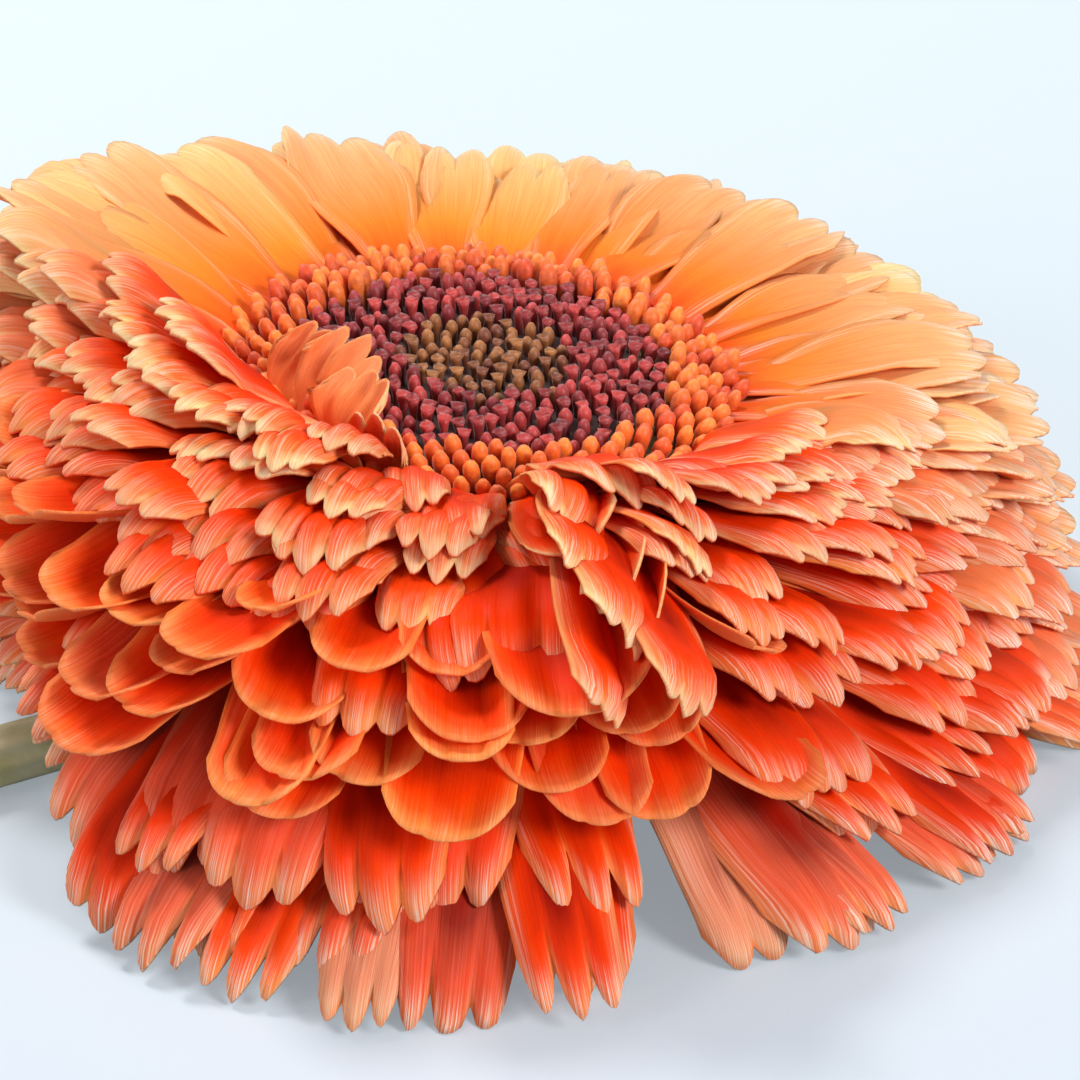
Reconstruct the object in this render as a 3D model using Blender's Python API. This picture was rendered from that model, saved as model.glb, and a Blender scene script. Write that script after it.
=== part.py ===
"""Double marigold (calendula) head with a short cut stalk, lying face up.

Metres, +Z up, resting on the plane z = 0. The rays of the head are strap-shaped
florets in whorls, bent down like an umbrella on the near side and held flatter on
the far side. Neighbouring rays of a whorl join along their lower parts, so each fan
of rays is one thin solid.
"""

import math

import bmesh
import bpy
from mathutils import Vector

MM = 0.001

# Head
HEAD_RADIUS = 41.0 * MM
HEAD_LEAN = 0.0042 / MM  # share of height lost per metre towards +X
FRONT_ANGLE = math.radians(-100)
FRONT_FULL = math.radians(58)  # either side of FRONT_ANGLE, rays are fully bent down
FRONT_END = math.radians(104)  # past this, rays are held flat

# Ray florets
WHORLS = 8
FANS_PER_WHORL = 6
RAYS_PER_FAN = 5
FAN_GAP = math.radians(2.6)
RAY_THICKNESS = 0.5 * MM
RAY_ROWS = 3
NOTCH_REACH = 0.85  # how far the joined part runs towards the tips
ARCH_FRONT = 0.22
ARCH_BACK = 0.1
FRONT_TIPS = [(21.5, 22.3), (33.0, 19.0), (HEAD_RADIUS / MM, 0.3)]  # radius, height
BACK_TIPS = [(32.0, 22.0), (40.0, 17.5), (HEAD_RADIUS / MM - 1.5, 0.6)]

# Receptacle: the fleshy cone that carries every floret
CONE_TOP_RADIUS = 14.2 * MM
CONE_TOP_HEIGHT = 20.3 * MM
CONE_LOW_RADIUS = 11.0 * MM
CONE_LOW_HEIGHT = 9.6 * MM
CONE_FOOT_RADIUS = 4.2 * MM
CONE_FOOT_HEIGHT = 7.4 * MM
SEAT_GAP = 0.3 * MM

# Eye of disc florets
EYE_FOOT = CONE_TOP_HEIGHT + 0.7 * MM
EYE_RINGS = [  # name, inner radius, outer radius, height in mm, sides, colour
    ("disc_florets_open", 0.0, 6.0, 1.5, 20, (0.16, 0.05, 0.02)),
    ("disc_florets_dark", 6.3, 11.2, 2.0, 30, (0.10, 0.01, 0.02)),
    ("disc_buds_orange", 11.5, 15.4, 2.4, 36, (0.75, 0.16, 0.02)),
]

# Green bracts under the head
BRACTS = 17
BRACT_PATH = [(5.6, 7.2), (13.0, 9.6), (18.5, 7.3)]  # radius, height in mm
BRACT_THICKNESS = 0.6 * MM
BRACT_ROWS = 3
BRACT_NOTCH = 0.5  # how far the joined part runs towards the points

# Stalk
STALK_RADIUS = 2.0 * MM
STALK_NECK_RADIUS = 2.4 * MM
STALK_ANGLE = math.radians(-153)
STALK_PATH = [  # distance from the axis, height
    (-1.0, 7.1),
    (-0.9, 5.6),
    (0.8, 3.6),
    (5.0, 2.6),
    (12.0, 2.15),
    (22.0, 2.05),
    (36.0, 2.05),
    (50.0, 2.1),
]
STALK_LIFT = 6.2 * MM  # how far rays are pushed up where they cross the stalk
STALK_LIFT_WIDTH = math.radians(15)
STALK_LIFT_FADE = 10.0 * MM


def clear_scene():
    for item in list(bpy.data.objects):
        bpy.data.objects.remove(item)


def material(name, colour, roughness):
    made = bpy.data.materials.new(name)
    made.use_nodes = True
    shader = made.node_tree.nodes["Principled BSDF"]
    shader.inputs["Base Color"].default_value = (*colour, 1.0)
    shader.inputs["Roughness"].default_value = roughness
    shader.inputs["Metallic"].default_value = 0.0
    return made


def add_object(name, mesh, surface):
    made = bpy.data.objects.new(name, mesh)
    mesh.materials.append(surface)
    bpy.context.scene.collection.objects.link(made)
    return made


def mesh_from(shape, name):
    bmesh.ops.recalc_face_normals(shape, faces=shape.faces)
    mesh = bpy.data.meshes.new(name)
    shape.to_mesh(mesh)
    shape.free()
    mesh.shade_smooth()
    mesh.set_sharp_from_angle(angle=math.radians(40))
    return mesh


def mix(low, high, share):
    return low + (high - low) * share


def smooth_step(low, high, value):
    share = min(max((value - low) / (high - low), 0.0), 1.0)
    return share * share * (3.0 - 2.0 * share)


def turn_between(angle, other):
    """The unsigned angle between two directions round the head."""
    return abs(math.remainder(angle - other, math.tau))


def curve_point(points, share):
    """A point of the quadratic curve through the first and last of three points."""
    weights = ((1 - share) ** 2, 2 * share * (1 - share), share**2)
    return tuple(sum(w * p[axis] for w, p in zip(weights, points)) for axis in (0, 1))


def placed(radius, angle, height):
    """A point given round the head's axis, with the head's lean applied."""
    x = radius * math.cos(angle)
    return Vector((x, radius * math.sin(angle), height * (1.0 - HEAD_LEAN * x)))


def cone_radius(height):
    share = (height - CONE_LOW_HEIGHT) / (CONE_TOP_HEIGHT - CONE_LOW_HEIGHT)
    return mix(CONE_LOW_RADIUS, CONE_TOP_RADIUS, share)


def bent_share(angle):
    """1 where rays are bent down, 0 where they are held flat."""
    return 1.0 - smooth_step(FRONT_FULL, FRONT_END, turn_between(angle, FRONT_ANGLE))


def lifted(height, angle):
    """Rays ride over the stalk: the lower they hang, the more they are pushed up."""
    near = math.exp(-((turn_between(angle, STALK_ANGLE) / STALK_LIFT_WIDTH) ** 2))
    return height + STALK_LIFT * near * math.exp(-height / STALK_LIFT_FADE)


def ray_point(whorl, angle, along):
    """A point of the whorl's sheet, from its seat on the receptacle (0) to its tips (1)."""
    depth = whorl / (WHORLS - 1)
    bent = bent_share(angle)
    seat_height = mix(CONE_TOP_HEIGHT - 0.4 * MM, CONE_LOW_HEIGHT + 1.0 * MM, depth)
    seat = (cone_radius(seat_height) + SEAT_GAP, seat_height)
    front = curve_point(FRONT_TIPS, depth)
    back = curve_point(BACK_TIPS, depth)
    tip = tuple(mix(b, f, bent) * MM for b, f in zip(back, front))
    arch = mix(ARCH_BACK, ARCH_FRONT, bent)
    run, rise = tip[0] - seat[0], tip[1] - seat[1]
    middle = ((seat[0] + tip[0]) / 2 - arch * rise, (seat[1] + tip[1]) / 2 + arch * run)
    radius, height = curve_point((seat, middle, tip), along)
    return placed(radius, angle, mix(height, lifted(height, angle), along))


def ray_fan(name, whorl, fan, surface):
    """One thin solid: the rays of one whorl over a sixth of a turn."""
    span = math.tau / FANS_PER_WHORL
    start = span * (fan + whorl % 2 / 2) + FAN_GAP / 2
    columns = 2 * RAYS_PER_FAN
    shape = bmesh.new()
    grid = []
    for column in range(columns + 1):
        angle = start + (span - FAN_GAP) * column / columns
        reach = 1.0 if column % 2 else NOTCH_REACH
        shares = [reach * row / RAY_ROWS for row in range(RAY_ROWS + 1)]
        grid.append([shape.verts.new(ray_point(whorl, angle, share)) for share in shares])
    for left, right in zip(grid, grid[1:]):
        for row in range(RAY_ROWS):
            shape.faces.new((left[row], left[row + 1], right[row + 1], right[row]))
    made = add_object(name, mesh_from(shape, name), surface)
    wall = made.modifiers.new("ray_wall", "SOLIDIFY")
    wall.thickness = RAY_THICKNESS
    wall.offset = 0.0
    wall.use_even_offset = True


def ray_whorls():
    for whorl in range(WHORLS):
        depth = whorl / (WHORLS - 1)
        colour = (mix(0.95, 0.80, depth), mix(0.22, 0.07, depth), mix(0.04, 0.01, depth))
        surface = material(f"ray_orange_{whorl + 1}", colour, 0.45)
        for fan in range(FANS_PER_WHORL):
            ray_fan(f"rays_whorl_{whorl + 1}_fan_{fan + 1}", whorl, fan, surface)


def turned(name, profile, sides, surface):
    """A solid turned round the head's axis. A profile that leaves the axis open makes a ring."""
    shape = bmesh.new()
    rings = []
    for radius, height in profile:
        turns = [math.tau * side / sides for side in range(sides)] if radius else [0.0]
        rings.append([shape.verts.new(placed(radius, turn, height)) for turn in turns])
    is_ring = len(rings[0]) > 1
    for upper, lower in zip(rings, rings[1:] + rings[:1] if is_ring else rings[1:]):
        for side in range(sides):
            after = (side + 1) % sides
            if len(upper) == 1:
                shape.faces.new((upper[0], lower[side], lower[after]))
            elif len(lower) == 1:
                shape.faces.new((upper[after], upper[side], lower[0]))
            else:
                shape.faces.new((upper[side], lower[side], lower[after], upper[after]))
    return add_object(name, mesh_from(shape, name), surface)


def receptacle():
    profile = [
        (0.0, CONE_TOP_HEIGHT + 0.4 * MM),
        (CONE_TOP_RADIUS * 0.75, CONE_TOP_HEIGHT),
        (cone_radius(CONE_TOP_HEIGHT - 0.8 * MM), CONE_TOP_HEIGHT - 0.8 * MM),
        (CONE_LOW_RADIUS, CONE_LOW_HEIGHT),
        (CONE_FOOT_RADIUS, CONE_FOOT_HEIGHT),
        (0.0, CONE_FOOT_HEIGHT),
    ]
    turned("receptacle", profile, 36, material("receptacle_green", (0.35, 0.42, 0.12), 0.6))


def disc_florets():
    for name, inner, outer, rise, sides, colour in EYE_RINGS:
        top = EYE_FOOT + rise * MM
        rim = [
            (outer * MM - 0.8 * MM, top),
            (outer * MM, EYE_FOOT + 0.6 * MM),
            (outer * MM - 0.5 * MM, EYE_FOOT),
        ]
        if inner:
            profile = [(inner * MM + 0.6 * MM, top), *rim, (inner * MM, EYE_FOOT)]
        else:
            profile = [(0.0, top - 0.5 * MM), *rim, (0.0, EYE_FOOT)]
        turned(name, profile, sides, material(name, colour, 0.6))


def bracts():
    """The green bracts are joined at their feet into one toothed saucer."""
    shape = bmesh.new()
    columns = 2 * BRACTS
    grid = []
    for column in range(columns):
        angle = math.tau * column / columns
        reach = 1.0 if column % 2 else BRACT_NOTCH
        shares = [reach * row / BRACT_ROWS for row in range(BRACT_ROWS + 1)]
        points = [curve_point(BRACT_PATH, share) for share in shares]
        grid.append([shape.verts.new(placed(r * MM, angle, h * MM)) for r, h in points])
    for left, right in zip(grid, grid[1:] + grid[:1]):
        for row in range(BRACT_ROWS):
            shape.faces.new((left[row], left[row + 1], right[row + 1], right[row]))
    surface = material("bract_green", (0.22, 0.34, 0.08), 0.6)
    made = add_object("involucre_bracts", mesh_from(shape, "involucre_bracts"), surface)
    wall = made.modifiers.new("bract_wall", "SOLIDIFY")
    wall.thickness = BRACT_THICKNESS
    wall.offset = 0.0


def stalk():
    curve = bpy.data.curves.new("flower_stalk", "CURVE")
    curve.dimensions = "3D"
    curve.bevel_depth = STALK_RADIUS
    curve.bevel_resolution = 3
    curve.use_fill_caps = True
    curve.resolution_u = 4
    line = curve.splines.new("NURBS")
    line.points.add(len(STALK_PATH) - 1)
    line.order_u = 3
    line.use_endpoint_u = True
    for index, (point, (radius, height)) in enumerate(zip(line.points, STALK_PATH)):
        along = index / (len(STALK_PATH) - 1)
        x, y = radius * math.cos(STALK_ANGLE), radius * math.sin(STALK_ANGLE)
        point.co = (x * MM, y * MM, height * MM, 1.0)
        point.radius = mix(STALK_NECK_RADIUS / STALK_RADIUS, 1.0, min(4 * along, 1.0))
    made = bpy.data.objects.new("flower_stalk", curve)
    curve.materials.append(material("stalk_green", (0.62, 0.66, 0.32), 0.55))
    bpy.context.scene.collection.objects.link(made)


def stand_on_origin():
    """Moves the model so that the middle of its lowest face of the bounding box is the origin."""
    bpy.context.view_layer.update()
    graph = bpy.context.evaluated_depsgraph_get()
    corners = []
    for item in bpy.context.scene.objects:
        mesh = item.evaluated_get(graph).to_mesh()
        corners += [item.matrix_world @ vertex.co for vertex in mesh.vertices]
    low = Vector([min(corner[axis] for corner in corners) for axis in range(3)])
    high = Vector([max(corner[axis] for corner in corners) for axis in range(3)])
    middle = (low + high) / 2
    for item in bpy.context.scene.objects:
        item.location -= Vector((middle.x, middle.y, low.z))


def main():
    clear_scene()
    stalk()
    receptacle()
    disc_florets()
    bracts()
    ray_whorls()
    stand_on_origin()


main()
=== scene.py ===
import math
import random
import bpy
import numpy as np
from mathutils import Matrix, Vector


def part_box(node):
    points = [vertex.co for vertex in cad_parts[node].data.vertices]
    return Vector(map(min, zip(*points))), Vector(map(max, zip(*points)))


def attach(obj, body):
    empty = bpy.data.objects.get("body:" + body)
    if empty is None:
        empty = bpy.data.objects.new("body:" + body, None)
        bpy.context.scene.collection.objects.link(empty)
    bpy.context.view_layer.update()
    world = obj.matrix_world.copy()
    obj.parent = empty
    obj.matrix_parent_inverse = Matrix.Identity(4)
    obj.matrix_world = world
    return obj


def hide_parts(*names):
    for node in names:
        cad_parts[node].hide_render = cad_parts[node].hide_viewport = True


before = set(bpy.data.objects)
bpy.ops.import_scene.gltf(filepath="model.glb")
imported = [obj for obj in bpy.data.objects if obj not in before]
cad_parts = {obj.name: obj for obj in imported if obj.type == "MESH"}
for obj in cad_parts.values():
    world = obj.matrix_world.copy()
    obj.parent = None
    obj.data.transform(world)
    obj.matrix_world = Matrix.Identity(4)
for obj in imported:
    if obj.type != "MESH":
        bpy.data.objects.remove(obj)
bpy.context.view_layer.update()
scene = bpy.context.scene
scene.view_settings.view_transform = "Standard"
mm = 0.001

coneLow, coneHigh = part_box("receptacle")
axisX = (coneLow[0] + coneHigh[0]) / 2  # the head is built round this upright line
axisY = (coneLow[1] + coneHigh[1]) / 2

head = {
    "whorls": 8,
    "fans": 6,  # pieces per whorl
    "raysPerFan": 5,
    "lean": 4.2,  # share of height lost per metre towards +X
    "frontAngle": -100.0,
    "frontFull": 58.0,
    "frontEnd": 104.0,
    "frontTips": [(21.5, 22.3), (33.0, 19.0), (40.2, 0.3)],  # radius and height in mm
    "backTips": [(32.0, 22.0), (40.0, 17.5), (39.5, 0.6)],
    "archFront": 0.24,
    "archBack": 0.10,
    "seatTop": (14.6, 19.9),
    "seatLow": (11.7, 10.6),
    "stalkAngle": -153.0,
    "stalkLift": 6.2,  # mm by which the rays over the stalk are raised
    "lowest": 0.12,  # mm above the table that nothing of the head goes below
}


def mix(low, high, share):
    return low + (high - low) * share


def smoothStep(low, high, value):
    share = np.clip((value - low) / (high - low), 0.0, 1.0)
    return share * share * (3.0 - 2.0 * share)


def turnBetween(angle, other):
    return abs((angle - other + 180.0) % 360.0 - 180.0)


def bell(value, middle, width):
    return math.exp(-(((value - middle) / width) ** 2))


def angleBell(angle, middle, width):
    return math.exp(-((turnBetween(angle, middle) / width) ** 2))


def curvePoint(points, share):
    a, b, c = points
    rest = 1 - share
    return tuple(rest**2 * a[i] + 2 * share * rest * b[i] + share**2 * c[i] for i in (0, 1))


# 1 for the rays in front, which bend down, to 0 for those at the back
def bentShare(angle):
    turned = turnBetween(angle, head["frontAngle"])
    return 1.0 - float(smoothStep(head["frontFull"], head["frontEnd"], turned))


camera = {
    "elevation": 27.5,
    "distance": 0.21,  # metres from the middle of the eye
    "lens": 110.2,
    "aimRight": 1.04,  # degrees that it looks past the middle of the eye
    "aimDown": 3.29,
    "aimHeight": 0.0222,
}


def makeCamera():
    up = math.radians(camera["elevation"])
    aim = Vector((axisX, axisY, camera["aimHeight"]))
    place = aim - camera["distance"] * Vector((0, math.cos(up), -math.sin(up)))
    down = up + math.radians(camera["aimDown"])
    turn = (math.pi / 2 - down, 0, -math.radians(camera["aimRight"]))
    bpy.ops.object.camera_add(location=place, rotation=turn)
    made = bpy.context.object
    made.data.lens = camera["lens"]
    made.data.sensor_width = 36
    made.data.clip_start = 0.01
    made.data.clip_end = 20
    scene.camera = made


lights = {
    # name: place, size in metres, watts, colour
    "keyFromBehind": ((-0.20, 0.22, 0.50), 0.16, 2.0, (1.0, 0.98, 0.95)),
    "softFront": ((0.44, -0.38, 0.36), 0.26, 3.4, (1.0, 0.99, 0.98)),
    "leftSide": ((-0.45, -0.24, 0.26), 0.25, 0.9, (1.0, 0.97, 0.98)),
}


lampAim = 0.012  # height in metres that the lamps point at
room = {"colour": (0.86, 0.93, 1.0), "light": 0.28, "seen": 0.92}


# 1 where the camera, a reflection or glass looks, 0 where light is gathered
def viewShare(nodes, links):
    path = nodes.new("ShaderNodeLightPath")
    share = path.outputs["Is Camera Ray"]
    for kind in ("Is Glossy Ray", "Is Transmission Ray"):
        both = nodes.new("ShaderNodeMath")
        both.operation = "MAXIMUM"
        links.new(share, both.inputs[0])
        links.new(path.outputs[kind], both.inputs[1])
        share = both.outputs[0]
    return share


def makeLights():
    for name, (place, size, watts, colour) in lights.items():
        bpy.ops.object.light_add(type="AREA", location=place)
        lamp = bpy.context.object
        lamp.name = name
        lamp.data.shape = "DISK"
        lamp.data.size = size
        lamp.data.energy = watts
        lamp.data.color = colour
        aim = Vector((axisX, axisY, lampAim)) - Vector(place)
        lamp.rotation_euler = aim.to_track_quat("-Z", "Y").to_euler()
    world = bpy.data.worlds.new("paleRoom")
    scene.world = world
    world.use_nodes = True
    nodes, links = world.node_tree.nodes, world.node_tree.links
    back = nodes["Background"]
    back.inputs["Color"].default_value = (*room["colour"], 1)
    strength = nodes.new("ShaderNodeMath")
    strength.operation = "MULTIPLY_ADD"
    strength.inputs[1].default_value = room["seen"] - room["light"]
    strength.inputs[2].default_value = room["light"]
    links.new(viewShare(nodes, links), strength.inputs[0])
    links.new(strength.outputs[0], back.inputs["Strength"])


floorLook = {
    "size": 6,
    "near": (0.42, 0.47, 0.52),
    "far": (0.47, 0.53, 0.56),
    "fade": (-0.05, 0.12),  # from here to there in Y, near turns into far
    "glow": (0.60, 1.60),  # own brightness by the flower and in the distance, seen but lighting nothing
    "reach": (0.25, 0.9),  # metres over which it grows
    "roughness": 0.75,
}


def evenSpan(nodes, links, value, start, end):
    node = nodes.new("ShaderNodeMapRange")
    links.new(value, node.inputs["Value"])
    node.inputs["From Min"].default_value, node.inputs["From Max"].default_value = start
    node.inputs["To Min"].default_value, node.inputs["To Max"].default_value = end
    return node.outputs["Result"]


def makeFloor():
    bpy.ops.mesh.primitive_plane_add(size=floorLook["size"], location=(0, 0, 0))
    floor = bpy.context.object
    floor.name = "paleTable"
    floor.data.transform(floor.matrix_world)
    floor.matrix_world.identity()
    surface = bpy.data.materials.new("paleTable")
    surface.use_nodes = True
    nodes, links = surface.node_tree.nodes, surface.node_tree.links
    shader = nodes["Principled BSDF"]
    shader.inputs["Roughness"].default_value = floorLook["roughness"]
    place = nodes.new("ShaderNodeTexCoord")
    split = nodes.new("ShaderNodeSeparateXYZ")
    tint = nodes.new("ShaderNodeMix")
    tint.data_type = "RGBA"
    tint.inputs["A"].default_value = (*floorLook["near"], 1)
    tint.inputs["B"].default_value = (*floorLook["far"], 1)
    links.new(place.outputs["Object"], split.inputs[0])
    links.new(evenSpan(nodes, links, split.outputs["Y"], floorLook["fade"], (0, 1)), tint.inputs["Factor"])
    links.new(tint.outputs["Result"], shader.inputs["Base Color"])
    away = nodes.new("ShaderNodeVectorMath")
    away.operation = "LENGTH"
    links.new(place.outputs["Object"], away.inputs[0])
    grown = evenSpan(nodes, links, away.outputs["Value"], floorLook["reach"], floorLook["glow"])
    glow = nodes.new("ShaderNodeMath")
    glow.operation = "MULTIPLY"
    links.new(grown, glow.inputs[1])
    links.new(viewShare(nodes, links), glow.inputs[0])
    links.new(tint.outputs["Result"], shader.inputs["Emission Color"])
    links.new(glow.outputs[0], shader.inputs["Emission Strength"])
    floor.data.materials.append(surface)


makeCamera()
makeLights()
makeFloor()
print("stage: camera, lights and floor")


def newSurface(name, roughness):
    surface = bpy.data.materials.new(name)
    surface.use_nodes = True
    shader = surface.node_tree.nodes["Principled BSDF"]
    shader.inputs["Roughness"].default_value = roughness
    return surface, surface.node_tree.nodes, surface.node_tree.links, shader


def rampOf(nodes, links, value, stops):
    ramp = nodes.new("ShaderNodeValToRGB")
    while len(ramp.color_ramp.elements) < len(stops):
        ramp.color_ramp.elements.new(0.5)
    for element, (place, colour) in zip(ramp.color_ramp.elements, stops):
        element.position = place
        element.color = (*colour, 1)
    links.new(value, ramp.inputs["Fac"])
    return ramp.outputs["Color"]


def blendOf(nodes, links, share, low, high, how="MIX"):
    node = nodes.new("ShaderNodeMix")
    node.data_type = "RGBA"
    node.blend_type = how
    for socket, kind, value in (("Factor", "VALUE", share), ("A", "RGBA", low), ("B", "RGBA", high)):
        spot = next(spot for spot in node.inputs if spot.name == socket and spot.type == kind)
        if isinstance(value, bpy.types.NodeSocket):
            links.new(value, spot)
        elif isinstance(value, tuple):
            spot.default_value = (*value, 1)
        else:
            spot.default_value = value
    return next(spot for spot in node.outputs if spot.type == "RGBA")


def mathOf(nodes, links, how, first, second=0.0, third=0.0):
    node = nodes.new("ShaderNodeMath")
    node.operation = how
    for spot, value in zip(node.inputs, (first, second, third)):
        if isinstance(value, bpy.types.NodeSocket):
            links.new(value, spot)
        else:
            spot.default_value = value
    return node.outputs[0]


def spanOf(nodes, links, value, low, high, toLow=0.0, toHigh=1.0):
    node = nodes.new("ShaderNodeMapRange")
    node.interpolation_type = "SMOOTHSTEP"
    links.new(value, node.inputs["Value"])
    node.inputs["From Min"].default_value = low
    node.inputs["From Max"].default_value = high
    node.inputs["To Min"].default_value = toLow
    node.inputs["To Max"].default_value = toHigh
    return node.outputs["Result"]


def attributeOf(nodes, name):
    node = nodes.new("ShaderNodeAttribute")
    node.attribute_name = name
    return node.outputs["Fac"]


petalLook = {
    # colours of the rays in front, from the painted shade where the ray above covers them out to the free
    # edge
    "paintedShade": (0.36, 0.008, 0.001),
    "body": (0.97, 0.042, 0.001),
    "bright": (1.0, 0.082, 0.005),
    # the tip and pale edge colours are partly the rays' own paler edge and partly painted highlight
    "tip": (1.0, 0.22, 0.045),
    "rim": (1.0, 0.26, 0.07),
    "paleEdgeAndHighlight": (1.0, 0.62, 0.28),
    # colour of the painted highlight on the lobes
    "highlightColour": (1.0, 0.79, 0.68),
    # rays at the back, whose paler, yellower colour is painted backlight, and undersides
    "backlitBody": (1.0, 0.28, 0.026),
    "backlitTip": (1.0, 0.58, 0.25),
    "under": (0.95, 0.26, 0.08),
    "underPale": (0.93, 0.62, 0.36),
    # dry ends
    "dryVein": (0.50, 0.26, 0.16),
    "withered": (0.86, 0.50, 0.26),
    "dryRidge": (1.0, 0.80, 0.66),
    "fade": 8.0,  # mm from the free edge to the darkest painted shade
    "highlightFrom": (2.8, 0.3),  # mm from the free edge where the painted highlight starts and is full
    "dryFrom": (9.0, 3.0),
    "veins": 84.0,
    "roughness": 0.5,
    "tipRoughness": 0.3,
    "specular": 0.08,
    "flesh": 0.15,  # share of light that enters the petal
    "veinHeight": 0.00012,
}


# noise over the petal's own map, drawn out by another factor each way
def petalNoise(nodes, links, parts, scale, detail, roughness):
    stretch = nodes.new("ShaderNodeCombineXYZ")
    for spot, (value, factor) in zip(stretch.inputs, parts):
        links.new(mathOf(nodes, links, "MULTIPLY", value, factor), spot)
    noise = nodes.new("ShaderNodeTexNoise")
    noise.inputs["Scale"].default_value = scale
    noise.inputs["Detail"].default_value = detail
    noise.inputs["Roughness"].default_value = roughness
    links.new(stretch.outputs[0], noise.inputs["Vector"])
    return noise.outputs["Fac"]


# colour of the upper side, with its painted shade and backlight, before the painted highlights
def petalColour(nodes, links, reads, shift):
    look = petalLook
    inward = mathOf(nodes, links, "DIVIDE", reads["near"], look["fade"])
    inward = mathOf(nodes, links, "ADD", inward, mathOf(nodes, links, "MULTIPLY", shift, 1.5))
    # the ramp darkens inwards from the free edge as painted shade under the covering rays
    front = rampOf(nodes, links, inward, [
        (0.0, look["paleEdgeAndHighlight"]), (0.09, look["tip"]), (0.22, look["bright"]), (0.40, look["body"]),
        (0.9, look["paintedShade"]),
    ])
    frontLow = rampOf(nodes, links, inward, [
        (0.0, look["rim"]), (0.05, look["tip"]), (0.20, look["bright"]), (0.38, look["body"]),
        (0.8, look["paintedShade"]),
    ])
    reach = mathOf(nodes, links, "ADD", reads["along"], shift)
    # rays at the back are painted paler and yellower, as light coming through them from behind
    behind = rampOf(nodes, links, reach, [
        (0.0, look["body"]), (0.30, look["backlitBody"]), (0.88, look["backlitTip"]), (1.0, look["paleEdgeAndHighlight"]),
    ])
    lower = spanOf(nodes, links, reads["row"], 0.20, 0.45)
    colour = blendOf(nodes, links, lower, front, frontLow)
    backlitByRow = spanOf(nodes, links, reads["row"], 0.25, 0.75, 0.85, 0.40)
    backlitShare = mathOf(nodes, links, "MULTIPLY", reads["back"], backlitByRow)
    colour = blendOf(nodes, links, backlitShare, colour, behind)
    toned = rampOf(nodes, links, reads["tone"], [
        (0.0, (0.88, 0.80, 0.80)), (0.6, (1.0, 1.0, 1.0)), (1.0, (1.0, 1.25, 1.2)),
    ])
    return blendOf(nodes, links, 1.0, colour, toned, "MULTIPLY")


def makePetalSurface():
    look = petalLook
    surface, nodes, links, shader = newSurface("petal", look["roughness"])
    shader.inputs["Subsurface Weight"].default_value = look["flesh"]
    shader.inputs["Specular IOR Level"].default_value = look["specular"]
    shader.inputs["Subsurface Radius"].default_value = (1.0, 0.35, 0.12)
    shader.inputs["Subsurface Scale"].default_value = 0.0009
    uv = nodes.new("ShaderNodeUVMap")
    uv.uv_map = "petalMap"
    split = nodes.new("ShaderNodeSeparateXYZ")
    links.new(uv.outputs["UV"], split.inputs[0])
    kinds = ("tone", "row", "back", "under", "near", "lobeHighlight", "dry", "smooth")
    reads = {key: attributeOf(nodes, key) for key in kinds}
    reads["across"], reads["along"] = split.outputs["X"], split.outputs["Y"]
    across, along, tone, near = (reads[key] for key in ("across", "along", "tone", "near"))

    # veins run lengthwise
    vein = petalNoise(nodes, links, ((across, look["veins"]), (along, 3.2), (tone, 37.0)), 1.0, 3.0, 0.6)
    cloud = petalNoise(nodes, links, ((across, 4.0), (along, 2.5), (tone, 91.0)), 1.3, 2.0, 0.5)
    shift = mathOf(nodes, links, "MULTIPLY_ADD", cloud, 0.16, -0.08)
    colour = petalColour(nodes, links, reads, shift)
    streak = rampOf(nodes, links, vein, [
        (0.30, (0.90, 0.74, 0.72)), (0.55, (1.0, 1.0, 1.0)), (0.8, (1.0, 1.3, 1.4)),
    ])
    colour = blendOf(nodes, links, 0.75, colour, streak, "MULTIPLY")

    # painted highlight along the middle of each lobe
    highlightShare = mathOf(nodes, links, "MULTIPLY", spanOf(nodes, links, near, *look["highlightFrom"]), reads["lobeHighlight"])
    highlightShare = mathOf(nodes, links, "MULTIPLY", highlightShare, spanOf(nodes, links, vein, 0.42, 0.72, 0.02, 0.85))
    unlessSmooth = spanOf(nodes, links, reads["smooth"], 0.0, 1.0, 1.0, 0.2)
    highlightShare = mathOf(nodes, links, "MULTIPLY", highlightShare, unlessSmooth)
    colour = blendOf(nodes, links, highlightShare, colour, look["highlightColour"])

    pale = spanOf(nodes, links, reads["row"], 0.80, 1.0)
    below = blendOf(nodes, links, pale, look["under"], look["underPale"])
    below = blendOf(nodes, links, 0.8, below, streak, "MULTIPLY")
    colour = blendOf(nodes, links, mathOf(nodes, links, "MULTIPLY", reads["under"], 0.8), colour, below)

    # dry ends keep a coloured rim
    driedUp = spanOf(nodes, links, near, *look["dryFrom"], 0.0, 0.9)
    withered = mathOf(nodes, links, "MULTIPLY", reads["dry"], driedUp)
    withered = mathOf(nodes, links, "MULTIPLY", withered, spanOf(nodes, links, near, 0.1, 0.6, 0.2, 1.0))
    dried = rampOf(nodes, links, vein, [
        (0.32, look["dryVein"]), (0.5, look["withered"]), (0.72, look["dryRidge"]),
    ])
    colour = blendOf(nodes, links, withered, colour, dried)
    links.new(colour, shader.inputs["Base Color"])

    rough = spanOf(nodes, links, vein, 0.3, 0.75, 0.0, 0.14)
    satin = spanOf(nodes, links, near, 5.0, 1.0, look["roughness"], look["tipRoughness"])
    links.new(mathOf(nodes, links, "ADD", rough, satin), shader.inputs["Roughness"])
    bump = nodes.new("ShaderNodeBump")
    bump.inputs["Strength"].default_value = 0.4
    bump.inputs["Distance"].default_value = look["veinHeight"]
    links.new(vein, bump.inputs["Height"])
    links.new(bump.outputs["Normal"], shader.inputs["Normal"])
    return surface


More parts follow.
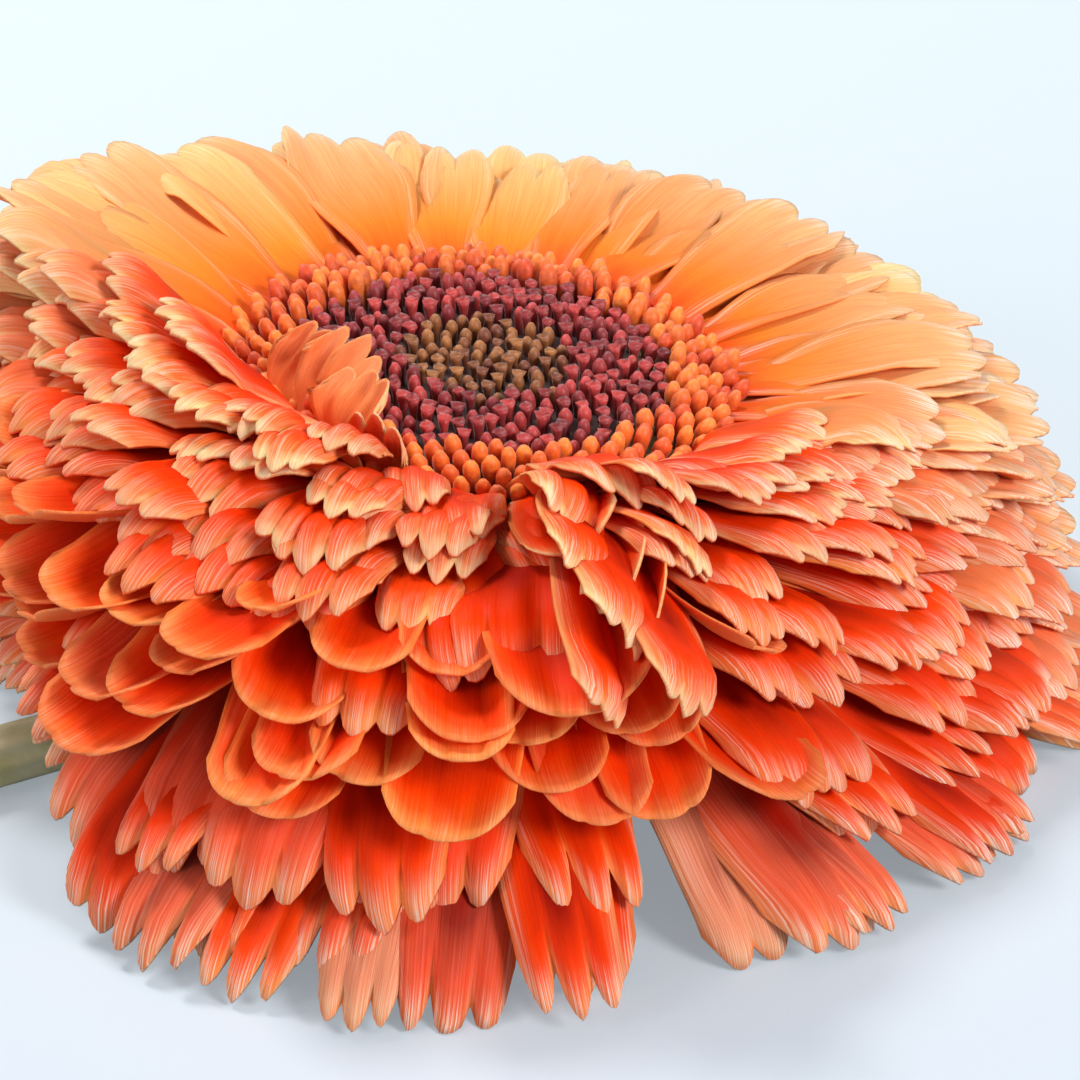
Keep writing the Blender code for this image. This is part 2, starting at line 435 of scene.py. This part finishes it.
# one blank petal: a grid with a wall, whose points carry their place on the petal
blank = {
    "columns": 18,
    "rows": 13,
    "wall": 0.02,
    "crowding": 1.35,  # draws the rows towards the free end
}


def pointsOf(made):
    points = np.empty(len(made.data.vertices) * 3)
    made.data.vertices.foreach_get("co", points)
    return points.reshape(-1, 3)


def makeBlank():
    bpy.ops.object.select_all(action="DESELECT")
    bpy.ops.mesh.primitive_grid_add(x_subdivisions=blank["columns"], y_subdivisions=blank["rows"], size=2)
    grid = bpy.context.object
    wall = grid.modifiers.new("wall", "SOLIDIFY")
    wall.thickness = blank["wall"]
    wall.offset = 0.0
    bpy.ops.object.modifier_apply(modifier=wall.name)
    points = pointsOf(grid)
    faces = [tuple(face.vertices) for face in grid.data.polygons]
    across = np.clip(points[:, 0], -1, 1)
    along = np.clip((points[:, 1] + 1) / 2, 0, 1)
    side = np.sign(points[:, 2])
    bpy.data.objects.remove(grid)
    return across, 1 - (1 - along) ** blank["crowding"], side, faces


blankAcross, blankAlong, blankSide, blankFaces = makeBlank()

# shape of the free end, all as shares of half the petal's width
styleParts = ("lobes", "tooth", "round", "crown", "cup", "curl", "dip")
styleValues = {
    "crowned": (3, 0.42, 0.62, 0.25, -0.24, -0.30, 0.42),
    "folded": (3, 0.42, 0.48, 0.27, -0.42, -0.10, 0.36),
    "spoon": (3, 0.10, 0.62, 0.07, 0.34, 0.46, -0.10),
    "strap": (3, 0.30, 0.70, 0.16, 0.16, -0.10, 0.10),
    "twin": (2, 0.42, 0.66, 0.28, -0.20, -0.20, 0.36),
    "claw": (3, 0.78, 0.50, 0.34, -0.20, -0.12, 0.26),
    "bract": (1, 2.60, 0.10, -0.10, 0.35, 0.10, 0.0),
}
petalStyles = {name: dict(zip(styleParts, values)) for name, values in styleValues.items()}

blade = {
    "thick": 0.24,  # mm
    "footWidth": 0.42,  # share of the full width
    "fullWidth": 0.6,  # share of the length where the petal is widest
    "grooves": (2.2, 0.6),  # half widths from the end where the grooves start and are full
    "curlReach": 1.6,  # half widths of the end that curl
    "ripple": 0.10,
}


# the petal before it is bent: x across, y along and z up off its own path
def petalPoints(style, length, half, thick, rng):
    u, v, side = blankAcross, blankAlong, blankSide
    lobes = style["lobes"]
    place = np.minimum((u + 1) / 2 * lobes, lobes - 1e-6)
    inLobe = 2 * (place - np.floor(place)) - 1  # -1 to 1 from one groove to the next
    edge = 0.70 * np.abs(inLobe) ** 3 + 0.30 * np.abs(inLobe)
    uneven = 1 + 0.25 * np.sin(u * 2.2 + rng.uniform(0, 6.3))
    widen = mix(blade["footWidth"], 1.0, smoothStep(0.0, blade["fullWidth"], v))
    widen = widen * (1 - 0.06 * smoothStep(0.8, 1.0, v))
    back = half * (style["tooth"] * edge * uneven + style["round"] * np.abs(u) ** 2.6)
    ramp = smoothStep(0.5, 1.0, v) ** 1.3
    x = half * widen * u
    y = length * v - back * ramp
    curlFrom = blade["curlReach"] * half
    tipShare = np.clip((y - (length - curlFrom)) / curlFrom, 0, 1)
    grooveStart, grooveFull = (length - reach * half for reach in blade["grooves"])
    z = half * style["crown"] * (1 - inLobe**2) * smoothStep(grooveStart, grooveFull, y)
    z += half * style["cup"] * u**2 * smoothStep(0.15, 0.7, v)
    z += half * style["curl"] * tipShare**2
    z -= half * style["dip"] * (1 - 0.5 * edge) * tipShare**4
    z += half * blade["ripple"] * np.sin(v * rng.uniform(4, 8) + rng.uniform(0, 6.3) + 1.4 * u)
    z += side * thick / 2 * (1 - 0.35 * np.abs(u) ** 4)
    # near is how far a point is from the free edge, in mm, the long sides counted as farther in
    near = length * (1 - v) - back * (1 - ramp)
    near = np.minimum(near, 0.4 + 2.2 * half * widen * (1 - np.abs(u)))
    return (x, y, z), {"near": np.maximum(near, 0), "lobeHighlight": 1 - inLobe**2}


# bends a flat petal along its path of radius and height in mm; turnAngles is the way it faces
def layAlong(path, turnAngles, x, y, z, roll):
    path = np.array(path)
    steps = np.linalg.norm(np.diff(path, axis=0), axis=1)
    reach = np.concatenate([[0], np.cumsum(steps)])
    spot = np.clip(y, 0, reach[-1] * 1.2)
    radius = np.interp(spot, reach, path[:, 0])
    height = np.interp(spot, reach, path[:, 1])
    slope = np.gradient(path, reach, axis=0)
    slope /= np.linalg.norm(slope, axis=1)[:, None]
    over = np.maximum(y - reach[-1], 0)  # anything past the path goes straight on
    tr = np.interp(spot, reach, slope[:, 0])
    th = np.interp(spot, reach, slope[:, 1])
    radius, height = radius + over * tr, height + over * th
    angle = np.radians(np.interp(spot / reach[-1], [0, 1], turnAngles))
    tilt = np.radians(roll) * np.clip(spot / reach[-1], 0, 1)
    sideways = x * np.cos(tilt) - z * np.sin(tilt)
    lift = x * np.sin(tilt) + z * np.cos(tilt)
    radius = radius - lift * th
    height = height + lift * tr
    px = radius * np.cos(angle) - sideways * np.sin(angle)
    py = radius * np.sin(angle) + sideways * np.cos(angle)
    return px, py, height


# millimetres round the head's axis to metres in the frame, with the head's lean
def placeHead(px, py, height):
    height = height * (1 - head["lean"] * mm * px)
    height = np.maximum(height, head["lowest"])
    return np.stack([px * mm + axisX, py * mm + axisY, height * mm], axis=1)


# petals is a list of points and of what the surface reads at them
def gatherPiece(name, petals, surface):
    points, faces, uvs, values = [], [], [], {}
    count = len(blankAcross)
    for index, (spots, looks) in enumerate(petals):
        points.append(spots)
        faces += [tuple(corner + index * count for corner in face) for face in blankFaces]
        uvs.append(np.stack([(blankAcross + 1) / 2, blankAlong], axis=1))
        for key, value in looks.items():
            values.setdefault(key, []).append(np.broadcast_to(value, count))
        values.setdefault("under", []).append((blankSide < 0).astype(float))
    mesh = bpy.data.meshes.new(name)
    mesh.from_pydata(np.concatenate(points).tolist(), [], faces)
    uvs = np.concatenate(uvs)
    corners = np.empty(len(mesh.loops), np.int32)
    mesh.loops.foreach_get("vertex_index", corners)
    layer = mesh.uv_layers.new(name="petalMap")
    layer.data.foreach_set("uv", uvs[corners].ravel())
    for key, parts in values.items():
        made = mesh.attributes.new(key, "FLOAT", "POINT")
        made.data.foreach_set("value", np.concatenate(parts))
    mesh.shade_smooth()
    mesh.materials.append(surface)
    piece = bpy.data.objects.new(name, mesh)
    scene.collection.objects.link(piece)
    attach(piece, "root")
    return piece


# how the rays of this head lie: each feature has its angle, its width and how much it does there
lie = {
    "ridgeLeft": (-140.0, 34.0, 4.2),  # mm that the inner rays beside the eye rise
    "shoulder": (166.0, 30.0, 3.6),  # mm that the inner rays at the back left rise
    "notch": (-84.0, 9.0, 2.4),  # mm that the first rays sink in front of the eye
    "tuck": (-156.0, 23.0, 7.5),  # mm by which the low rays over the stalk are shorter
    "nest": (-81.0, 9.0, 5.0),
    "nestDepth": (0.30, 0.17),
    "fold": (-71.0, 26.0, 4.4, 52.0),  # the last is how far rays roll away from the fold
    "sweep": (-46.0, 28.0, 13.0),  # degrees that the rays on the right flank turn
    "sweepLeft": (-155.0, 26.0, -10.0),
    "gap": (-75.5, 6.8),  # angle and half width of the hole in the lowest rows
    "gapDepth": 0.80,
    "spoonsLeft": (0.52, 0.88),  # depths of the smooth, cupped rays
    "spoonsMiddle": (0.44, 0.80),
    "spoonAngles": (-164.0, -68.0),
    "clawDepth": 0.85,
}


def shareOf(feature, angle):
    middle, width, amount = lie[feature]
    return amount * angleBell(angle, middle, width)


def lengthOf(path):
    return sum(math.dist(a, b) for a, b in zip(path, path[1:]))


def archedPath(seat, tip, arch):
    run, rise = tip[0] - seat[0], tip[1] - seat[1]
    middle = ((seat[0] + tip[0]) / 2 - arch * rise, (seat[1] + tip[1]) / 2 + arch * run)
    return [curvePoint((seat, middle, tip), share) for share in np.linspace(0, 1, 18)]


def seatAt(depth):
    return tuple(mix(top, low, depth) for top, low in zip(head["seatTop"], head["seatLow"]))


# rays past the fold stand up and those on both sides roll away from it
def foldOver(depth, angle, bent):
    middle, width, rise, roll = lie["fold"]
    turn = (angle - middle + 180) % 360 - 180
    step = rise * math.exp(-max(turn, 0) / width) * max(0.0, 1 - (depth / 0.75) ** 2) * (1 if turn > 0 else 0)
    away = -1 if turn > 0 else 1
    return step, roll * math.exp(-abs(turn) / 15.0) * away * max(0.0, 1 - (depth / 0.85) ** 2) * bent


# depth runs from 0 by the eye to 1 at the table
def rayPath(depth, angle, jitter):
    bent = bentShare(angle)
    front, behind = curvePoint(head["frontTips"], depth), curvePoint(head["backTips"], depth)
    radius, height = (mix(b, f, bent) + loose for b, f, loose in zip(behind, front, jitter))
    upper = max(0.0, 1 - depth)
    height += shareOf("ridgeLeft", angle) * upper**1.5 + shareOf("shoulder", angle) * upper**1.2
    height -= shareOf("notch", angle) * max(0.0, 1 - depth / 0.4)
    radius += 0.6 * shareOf("shoulder", angle) * upper - shareOf("tuck", angle) * depth**3
    step, roll = foldOver(depth, angle, bent)
    radius += 0.8 * step
    height += step
    nestAngle, nestWidth, dent = lie["nest"]
    inNest = angleBell(angle, nestAngle, nestWidth) * bell(depth, *lie["nestDepth"])
    radius -= dent * 0.8 * inNest
    height -= dent * 0.5 * inNest
    path = archedPath(seatAt(depth), (radius, height), mix(head["archBack"], head["archFront"], bent))
    lift = head["stalkLift"] * angleBell(angle, head["stalkAngle"] + 6, 19.0)
    for index, (radius, height) in enumerate(path):
        path[index] = (radius, height + index / (len(path) - 1) * lift * math.exp(-max(height, 0) / 10.0))
    return path, roll, bent, inNest


def pickStyle(depth, angle, bent, rng):
    turn = (angle + 180) % 360 - 180
    share = float(smoothStep(-150, -95, turn))
    low, high = (mix(left, middle, share) for left, middle in zip(lie["spoonsLeft"], lie["spoonsMiddle"]))
    first, last = lie["spoonAngles"]
    if low < depth < high and first < turn < last and rng.random() < 0.94:
        return "spoon"
    if depth > lie["clawDepth"] and bent > 0.35 and rng.random() < 0.85:
        return "claw"
    if bent < 0.35:
        return "strap" if rng.random() < 0.8 else "crowned"
    if rng.random() < 0.12:
        return "twin"
    return "folded" if rng.random() < 0.35 else "crowned"


# rays that stand out of their whorl: facing angle, depth, tip radius and height in mm, arch, half width,
# roll, turn of the tip, form
strays = [
    (-152.0, 0.0, (10.6, 24.6), -0.30, 2.2, 34, 0, "crowned"),  # ragged crest over the eye
    (-141.0, 0.0, (9.6, 25.0), -0.32, 2.5, 16, 4, "crowned"),
    (-129.0, 0.0, (12.2, 25.4), -0.30, 2.5, -8, 6, "folded"),
    (-118.0, 0.0, (15.6, 25.2), -0.24, 2.6, -14, 6, "crowned"),
    (-131.0, 0.0, (22.5, 25.0), 0.30, 2.3, 30, 0, "crowned"),
    (-84.0, 0.30, (31.5, 18.2), 0.24, 4.4, 14, -4, "crowned"),  # cups round the nest
    (-80.0, 0.42, (34.5, 16.0), 0.24, 5.0, 20, 0, "spoon"),
    (-79.0, 0.12, (25.0, 21.2), 0.24, 3.3, 38, 4, "spoon"),
    (-77.0, 0.20, (28.5, 19.8), 0.24, 3.7, 52, 4, "spoon"),
    (-75.0, 0.28, (31.0, 18.4), 0.24, 3.9, 58, 4, "spoon"),
    (-74.0, 0.05, (25.5, 24.6), 0.26, 3.0, -52, -4, "crowned"),  # cliff to the right of it
    (-72.0, 0.12, (30.0, 23.4), 0.26, 3.1, -56, -6, "crowned"),
    (-70.5, 0.20, (34.0, 21.8), 0.26, 3.0, -58, -6, "folded"),
    (-68.0, 0.28, (37.6, 19.6), 0.26, 3.0, -52, -4, "crowned"),
    (-73.5, 0.33, (36.5, 18.6), 0.22, 2.4, -64, -6, "folded"),
    (-77.0, 0.0, (23.5, 25.2), 0.40, 3.2, -22, 10, "crowned"),  # pale crest at the notch
    (-86.0, 0.0, (19.4, 22.8), 0.40, 1.9, -30, 25, "strap"),
    (-68.0, 1.0, (38.8, 0.5), 0.22, 2.9, 0, 2, "twin"),  # dry ends low in front
    (-101.0, 1.0, (41.6, 0.4), 0.20, 2.6, -6, 0, "claw"),
]


def makeStray(facing, depth, tip, arch, half, roll, turn, styleName, rng):
    path = archedPath(seatAt(depth), tip, arch)
    shape, looks = petalPoints(petalStyles[styleName], lengthOf(path), half, blade["thick"], rng)
    dry = 0.6 if depth > 0.9 else 0.0
    # strays arched over the eye take part of the painted backlight colours
    overEyeBacklit = 0.55 if arch < 0 else 0.0
    looks.update(tone=rng.random(), row=depth, back=overEyeBacklit, dry=dry, smooth=float(styleName == "spoon"))
    return placeHead(*layAlong(path, (facing, facing + turn), *shape, roll)), looks


spread = {
    "angle": 2.8,  # degrees
    "reach": (1.2, 2.0),  # mm, by the eye and at the table
    "height": 0.7,
    "turn": 5.0,
    "roll": 13.0,
    "backHalf": 3.5,  # half width in mm of the rays at the back
    "frontHalf": (2.35, 3.65),  # and in front, by the eye and lower down
    "formHalf": {"spoon": 1.02, "claw": 0.94, "strap": 1.12},  # shares of that width
}


def makeRay(depth, angle, jitter, rng):
    path, roll, bent, inNest = rayPath(depth, angle, jitter)
    frontHalf = mix(*spread["frontHalf"], min(1.0, depth * 1.3))
    half = mix(spread["backHalf"], frontHalf, bent)
    half *= (1 - 0.22 * inNest) * rng.uniform(0.90, 1.10)
    styleName = pickStyle(depth, angle, bent, rng)
    half *= spread["formHalf"].get(styleName, 1.0)
    shape, looks = petalPoints(petalStyles[styleName], lengthOf(path), half, blade["thick"], rng)
    turn = rng.uniform(-spread["turn"], spread["turn"]) + shareOf("sweep", angle) * bent
    turn += shareOf("sweepLeft", angle) * (1 - depth**2)
    roll += rng.uniform(-spread["roll"], spread["roll"])
    spots = placeHead(*layAlong(path, (angle, angle + turn), *shape, roll))
    # low rays dry out, most of all at the left
    dry = max(0.0, rng.random() - 0.6 + 0.35 * angleBell(angle, -136, 14)) * depth**6
    # the painted highlight is strongest on the right flank, where most light falls, and on the lowest rays
    looks["lobeHighlight"] = looks["lobeHighlight"] * (0.8 + 0.9 * angleBell(angle, -15, 48) + 0.4 * depth**5)
    looks.update(tone=rng.random(), row=depth, back=1 - bent, dry=dry, smooth=float(styleName == "spoon"))
    return spots, looks


def makeRays(surface):
    rng = random.Random(11)
    span = 360.0 / head["fans"]
    pitch = span / head["raysPerFan"]
    gapAngle, gapHalf = lie["gap"]
    for whorl in range(head["whorls"]):
        for fan in range(head["fans"]):
            petals = []
            start = span * (fan + whorl % 2 / 2)
            for sub in (0, 1):
                depth = (whorl + sub * mix(0.5, 0.22, whorl / 7)) / (head["whorls"] - 0.78)
                for ray in range(head["raysPerFan"]):
                    angle = start + pitch * (ray + 0.25 + 0.5 * sub)
                    angle += rng.uniform(-spread["angle"], spread["angle"])
                    loose = mix(*spread["reach"], depth**4)
                    jitter = (rng.uniform(-loose, loose), rng.uniform(-spread["height"], spread["height"]))
                    if depth > lie["gapDepth"] and turnBetween(angle, gapAngle) < gapHalf:
                        continue
                    petals.append(makeRay(depth, angle, jitter, rng))
            if whorl == 0:
                petals += [makeStray(*stray, rng) for stray in strays if stray[0] % 360 // span == fan]
            node = f"rays_whorl_{whorl + 1}_fan_{fan + 1}"
            piece = gatherPiece(f"petals_{whorl + 1}_{fan + 1}", petals, surface)
            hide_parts(node)


makeRays(makePetalSurface())
print("rays: whorls of petals laid")


# the eye: hundreds of small florets in a sunflower spiral
eye = {
    "florets": 560,
    "radius": 15.3,
    "foot": 19.7,
    "sides": 6,
    "pinch": 0.72,  # of every second corner of an open floret
    "roughness": 0.5,
}
# each zone: its outer radius, height and width of a floret in mm, share of open ones, two colours
eyeZones = {
    "open": (5.6, 1.9, 0.66, 0.35, (0.18, 0.036, 0.012), (0.40, 0.13, 0.028)),
    "dark": (11.6, 2.3, 0.72, 0.55, (0.20, 0.010, 0.014), (0.58, 0.050, 0.044)),
    "buds": (15.4, 2.9, 0.90, 0.0, (0.70, 0.060, 0.008), (1.0, 0.24, 0.028)),
}
# profiles of one floret: radius and height as shares of its size
budProfile = [(0.40, 0.0), (0.48, 0.40), (0.64, 0.66), (0.60, 0.84), (0.30, 1.0)]
starProfile = [(0.34, 0.0), (0.34, 0.55), (0.48, 0.80), (0.78, 1.0), (0.45, 0.90)]


def makeEyeSurface(name, low, high, roughness):
    surface, nodes, links, shader = newSurface(name, roughness)
    shader.inputs["Sheen Weight"].default_value = 0.15
    tone, up = attributeOf(nodes, "tone"), attributeOf(nodes, "row")
    place = nodes.new("ShaderNodeTexCoord")
    grain = nodes.new("ShaderNodeTexNoise")
    grain.inputs["Scale"].default_value = 2600
    grain.inputs["Detail"].default_value = 2
    links.new(place.outputs["Object"], grain.inputs["Vector"])
    colour = rampOf(nodes, links, tone, [(0.0, low), (1.0, high)])
    # florets are painted darker towards their feet, as shade between them, and a little paler at their tops,
    # as light
    dark = rampOf(nodes, links, up, [
        (0.0, (0.25, 0.18, 0.18)), (0.7, (0.9, 0.9, 0.9)), (1.0, (1.15, 1.25, 1.25)),
    ])
    colour = blendOf(nodes, links, 1.0, colour, dark, "MULTIPLY")
    speck = rampOf(nodes, links, grain.outputs["Fac"], [(0.3, (0.75, 0.7, 0.7)), (0.7, (1.2, 1.3, 1.3))])
    colour = blendOf(nodes, links, 0.8, colour, speck, "MULTIPLY")
    links.new(colour, shader.inputs["Base Color"])
    bump = nodes.new("ShaderNodeBump")
    bump.inputs["Strength"].default_value = 0.4
    bump.inputs["Distance"].default_value = 0.00008
    links.new(grain.outputs["Fac"], bump.inputs["Height"])
    links.new(bump.outputs["Normal"], shader.inputs["Normal"])
    return surface


# one blank floret, drawn up ring by ring from a circle of radius 1 over a height of 1
def makeFloretBlank(profile):
    bpy.ops.object.select_all(action="DESELECT")
    bpy.ops.mesh.primitive_circle_add(vertices=eye["sides"], radius=profile[0][0], fill_type="NGON")
    floret = bpy.context.object
    bpy.ops.object.mode_set(mode="EDIT")
    bpy.ops.mesh.select_all(action="SELECT")
    for (wide, up), (nextWide, nextUp) in zip(profile, profile[1:]):
        bpy.ops.mesh.extrude_region_move(TRANSFORM_OT_translate={"value": (0, 0, nextUp - up)})
        bpy.ops.transform.resize(value=(nextWide / wide, nextWide / wide, 1))
    bpy.ops.mesh.select_all(action="SELECT")
    bpy.ops.mesh.normals_make_consistent(inside=False)
    bpy.ops.object.mode_set(mode="OBJECT")
    points = pointsOf(floret)
    faces = [tuple(face.vertices) for face in floret.data.polygons]
    bpy.data.objects.remove(floret)
    return points, faces


# narrows every second corner of an open floret's rim
def pinchRim(points):
    turn = np.arctan2(points[:, 1], points[:, 0]) - math.pi / 2
    corner = np.round(turn / (math.tau / eye["sides"]))
    points[(points[:, 2] > 0.95) & (corner % 2 == 1), :2] *= eye["pinch"]


# one floret at its radius and angle in the spiral
def placeFloret(blankFloret, radius, angle, tall, size, outward, spin):
    x, y, up = blankFloret.T
    foot = eye["foot"] + 0.5 * (1 - (radius / eye["radius"]) ** 2) - 0.9 * (radius / eye["radius"]) ** 4
    out = radius + up * tall * outward * 0.45
    px = out * math.cos(angle) + size * (x * math.cos(spin) - y * math.sin(spin))
    py = out * math.sin(angle) + size * (x * math.sin(spin) + y * math.cos(spin))
    return placeHead(px, py, foot + up * tall)


def makeEyeZone(zone, places, blanks, rng):
    _, zoneTall, zoneSize, starShare, low, high = eyeZones[zone]
    points, faces, tones, ups, count = [], [], [], [], 0
    for radius, angle in places:
        tall = zoneTall * rng.uniform(0.85, 1.15)
        size = zoneSize * rng.uniform(0.88, 1.12)
        isStar = starShare > 0 and rng.random() < starShare
        floretPoints, floretFaces = blanks["star" if isStar else "bud"]
        outward = 0.9 * (radius / eye["radius"]) ** 4 + rng.uniform(-0.12, 0.12)
        tone = rng.random()
        spin = rng.uniform(0, 6.3)
        points.append(placeFloret(floretPoints, radius, angle, tall, size, outward, spin))
        faces += [tuple(count + corner for corner in face) for face in floretFaces]
        count += len(floretPoints)
        tones.append(np.full(len(floretPoints), tone))
        ups.append(floretPoints[:, 2])
    mesh = bpy.data.meshes.new("eye_" + zone)
    mesh.from_pydata(np.concatenate(points).tolist(), [], faces)
    for key, values in (("tone", tones), ("row", ups)):
        made = mesh.attributes.new(key, "FLOAT", "POINT")
        made.data.foreach_set("value", np.concatenate(values))
    mesh.shade_smooth()
    mesh.materials.append(makeEyeSurface("eye_" + zone, low, high, eye["roughness"]))
    piece = bpy.data.objects.new("eye_" + zone, mesh)
    scene.collection.objects.link(piece)
    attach(piece, "root")
    nodeNames = {"open": "disc_florets_open", "dark": "disc_florets_dark", "buds": "disc_buds_orange"}
    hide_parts(nodeNames[zone])


def makeEye():
    rng = random.Random(5)
    blanks = {"bud": makeFloretBlank(budProfile), "star": makeFloretBlank(starProfile)}
    pinchRim(blanks["star"][0])
    zonePlaces = {zone: [] for zone in eyeZones}
    golden = math.radians(137.508)
    for index in range(eye["florets"]):
        radius = eye["radius"] * math.sqrt((index + 0.5) / eye["florets"])
        zone = next(zone for zone, (outer, *_) in eyeZones.items() if radius <= outer)
        zonePlaces[zone].append((radius, index * golden))
    for zone, places in zonePlaces.items():
        makeEyeZone(zone, places, blanks, rng)


makeEye()
print("eye: disc florets set")


def makeGreenSurface(name, colours, grainScale, shadeCap=None):
    surface, nodes, links, shader = newSurface(name, 0.55)
    shader.inputs["Sheen Weight"].default_value = 0.25
    place = nodes.new("ShaderNodeTexCoord")
    grain = nodes.new("ShaderNodeTexNoise")
    grain.inputs["Scale"].default_value = grainScale
    grain.inputs["Detail"].default_value = 4
    links.new(place.outputs["Object"], grain.inputs["Vector"])
    low, high = colours
    colour = rampOf(nodes, links, grain.outputs["Fac"], [(0.3, low), (0.7, high)])
    # an optional painted shade over the top, by height
    if shadeCap:
        shadeColour, capLow, capHigh = shadeCap
        split = nodes.new("ShaderNodeSeparateXYZ")
        links.new(place.outputs["Object"], split.inputs[0])
        onTop = spanOf(nodes, links, split.outputs["Z"], capLow, capHigh)
        colour = blendOf(nodes, links, onTop, colour, shadeColour)
    links.new(colour, shader.inputs["Base Color"])
    bump = nodes.new("ShaderNodeBump")
    bump.inputs["Strength"].default_value = 0.5
    bump.inputs["Distance"].default_value = 0.0001
    links.new(grain.outputs["Fac"], bump.inputs["Height"])
    links.new(bump.outputs["Normal"], shader.inputs["Normal"])
    return surface


# the green leaves under the head, in two rings
bracts = {
    "count": 17,  # in each ring
    "half": 1.35,
    "thick": 0.4,
    "path": [(5.6, 7.3), (13.0, 9.4), (18.5, 7.0)],
    "ringDrop": 0.45,  # mm from one ring to the next
    "ringShort": 0.08,  # share by which the lower ring is shorter
    "colours": ((0.10, 0.20, 0.035), (0.26, 0.38, 0.09)),
    "grain": 900,
}


def makeBracts():
    rng = random.Random(3)
    petals = []
    for ring in (0, 1):
        for index in range(bracts["count"]):
            angle = 360 * (index + 0.5 * ring) / bracts["count"] + rng.uniform(-2, 2)
            reach = rng.uniform(0.88, 1.0) - bracts["ringShort"] * ring
            path = [curvePoint(bracts["path"], share * reach) for share in np.linspace(0, 1, 12)]
            path = [(radius, height - bracts["ringDrop"] * ring) for radius, height in path]
            style, half, thick = petalStyles["bract"], bracts["half"], bracts["thick"]
            shape, looks = petalPoints(style, lengthOf(path), half, thick, rng)
            facing = (angle, angle + rng.uniform(-3, 3))
            petals.append((placeHead(*layAlong(path, facing, *shape, rng.uniform(-8, 8))), looks))
    surface = makeGreenSurface("bractGreen", bracts["colours"], bracts["grain"])
    piece = gatherPiece("bract_ring", petals, surface)
    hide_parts("involucre_bracts")


# the cut stalk: down from the head, round the neck and out along the table
stalk = {
    # mm out from the head's axis, and height
    "path": [
        (-1.0, 7.1), (-0.95, 6.0), (-0.4, 4.9), (0.9, 3.9), (3.2, 3.1), (7.0, 2.55), (12.0, 2.25),
        (18.0, 2.1), (26.0, 2.08), (34.0, 2.08), (42.0, 2.1), (50.0, 2.12),
    ],
    "rings": 60,
    "rounding": 6,  # passes that round off the corners of the route
    "neck": 2.5,
    "neckLength": 12,
    "radius": 1.95,
    "ribs": 9,
    "ribDepth": 0.07,
    "sides": 54,
    "lowest": 0.1,
    "colours": ((0.60, 0.58, 0.26), (0.88, 0.84, 0.56)),
    "grain": 500,
}


def stalkRoute():
    path = np.array(stalk["path"])
    along = np.concatenate([[0], np.cumsum(np.linalg.norm(np.diff(path, axis=0), axis=1))])
    fine = np.linspace(0, along[-1], stalk["rings"])
    route = np.stack([np.interp(fine, along, path[:, 0]), np.interp(fine, along, path[:, 1])], axis=1)
    for _ in range(stalk["rounding"]):
        route[1:-1] = (route[:-2] + 2 * route[1:-1] + route[2:]) / 4
    return fine, route


# one ring of the ribbed wall, square to the route
def stalkRing(place, slope, thick):
    way = math.radians(head["stalkAngle"])
    ring = []
    for side in range(stalk["sides"]):
        turn = math.tau * side / stalk["sides"]
        rib = 1 + stalk["ribDepth"] * math.cos(stalk["ribs"] * turn)
        wide = thick * rib * (1 - stalk["ribDepth"])
        across, lift = wide * math.sin(turn), wide * math.cos(turn)
        run = place[0] - lift * math.sin(slope)
        height = max(place[1] + lift * math.cos(slope), stalk["lowest"])
        px = run * math.cos(way) - across * math.sin(way)
        py = run * math.sin(way) + across * math.cos(way)
        ring.append((px * mm + axisX, py * mm + axisY, height * mm))
    return ring


def makeStalk():
    fine, route = stalkRoute()
    points, faces = [], []
    sides, final = stalk["sides"], len(fine) - 1
    for index in range(len(fine)):
        ahead, behind = route[min(index + 1, final)], route[max(index - 1, 0)]
        slope = math.atan2(ahead[1] - behind[1], ahead[0] - behind[0])
        thick = mix(stalk["neck"], stalk["radius"], float(smoothStep(0, stalk["neckLength"], fine[index])))
        points += stalkRing(route[index], slope, thick)
    for ring in range(final):
        for side in range(sides):
            after = (side + 1) % sides
            a, b = ring * sides, (ring + 1) * sides
            faces.append((a + side, b + side, b + after, a + after))
    faces.append(tuple(range(sides)))
    faces.append(tuple(final * sides + side for side in reversed(range(sides))))
    mesh = bpy.data.meshes.new("stalk")
    mesh.from_pydata(points, [], faces)
    piece = bpy.data.objects.new("stalk", mesh)
    scene.collection.objects.link(piece)
    bpy.ops.object.select_all(action="DESELECT")
    piece.select_set(True)
    bpy.context.view_layer.objects.active = piece
    bpy.ops.object.mode_set(mode="EDIT")
    bpy.ops.mesh.select_all(action="SELECT")
    bpy.ops.mesh.normals_make_consistent(inside=False)
    bpy.ops.object.mode_set(mode="OBJECT")
    bpy.ops.object.shade_smooth_by_angle(angle=math.radians(50))
    mesh.materials.append(makeGreenSurface("stalkGreen", stalk["colours"], stalk["grain"]))
    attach(piece, "root")
    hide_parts("flower_stalk")


# the cone under the eye keeps its shape; its top, between the florets, is painted dark as shade
core = {
    "colours": ((0.20, 0.26, 0.06), (0.42, 0.46, 0.14)),
    "grain": 700,
    # painted shade colour, and the heights in metres where it starts and is full
    "shadeCap": ((0.045, 0.012, 0.008), 0.0188, 0.0196),
}


def paintCore():
    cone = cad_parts["receptacle"]
    cone.data.materials.clear()
    cone.data.materials.append(makeGreenSurface("coreGreen", core["colours"], core["grain"], core["shadeCap"]))


makeBracts()
makeStalk()
paintCore()
print("green: bracts, stalk and receptacle")
